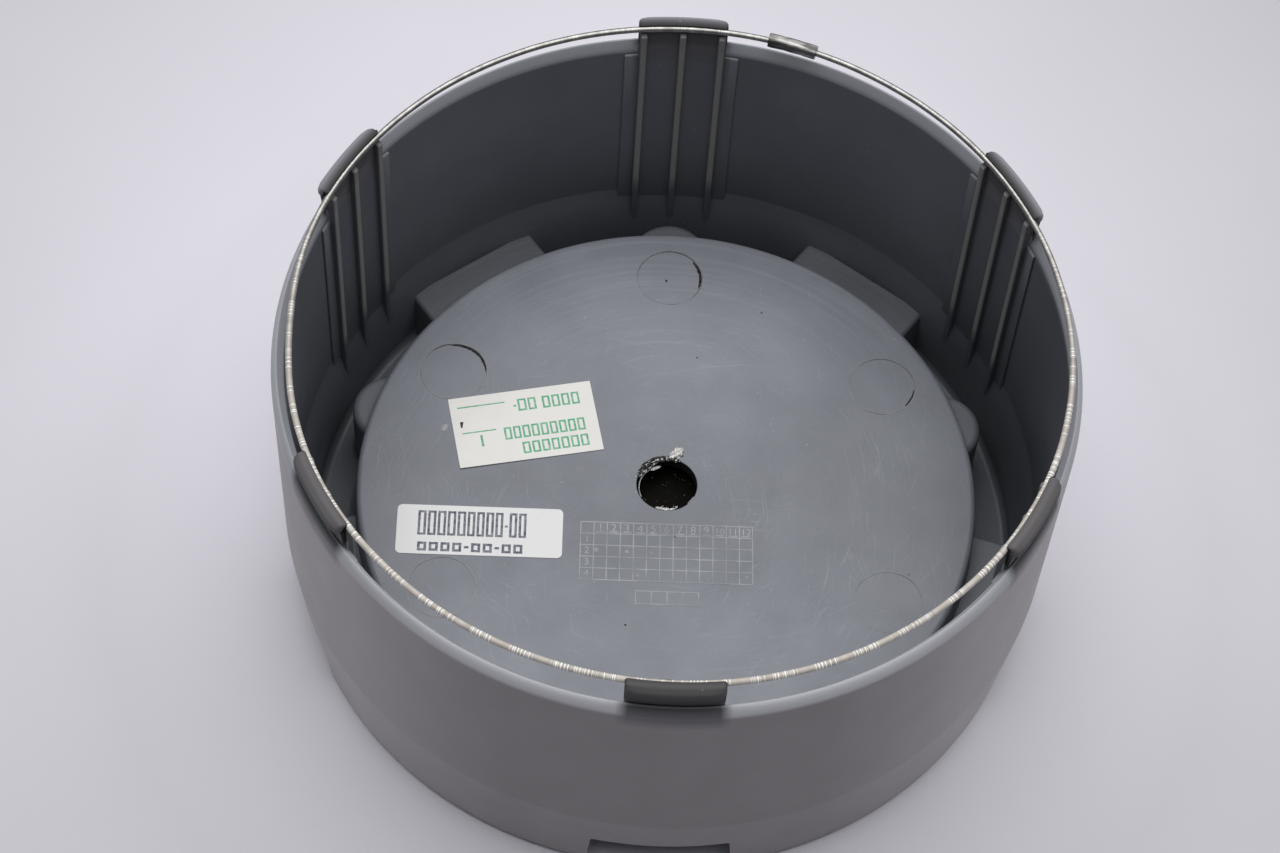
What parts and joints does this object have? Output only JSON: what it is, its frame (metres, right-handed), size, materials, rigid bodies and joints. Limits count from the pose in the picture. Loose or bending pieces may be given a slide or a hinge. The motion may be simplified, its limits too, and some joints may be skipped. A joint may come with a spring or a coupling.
{
  "type": "wheel centre cap",
  "caption": "Round plastic wheel centre cap, open at the back, with sprung clips held by a wire ring, a raised centre disc and a plain inset front.",
  "frame": {"origin": "centre of the front face, on the surface that the cap stands on", "axes": "+Z along the cap's axis from the front face to the open back, +Y through the middle of one clip, +X to its right"},
  "size_m": [0.1302, 0.131, 0.0649],
  "materials": {
    "grey_plastic": "as-moulded grey ABS, satin, with fine handling scratches",
    "spring_wire": "bright drawn spring wire",
    "sleeve_sheet": "plated steel sheet, crimped",
    "black_plastic": "plain black, dusty on its hidden back",
    "label_vinyl": "white coated label with plain dark navy bars in place of print",
    "label_paper": "white paper label with plain green rules in place of print"
  },
  "bodies": {
    "root": {"cap_shell": "grey_plastic", "retaining_ring": "spring_wire", "ring_sleeve": "sleeve_sheet", "front_insert": "black_plastic", "part_label": "label_vinyl", "inspection_label": "label_paper"}
  },
  "joints": []
}
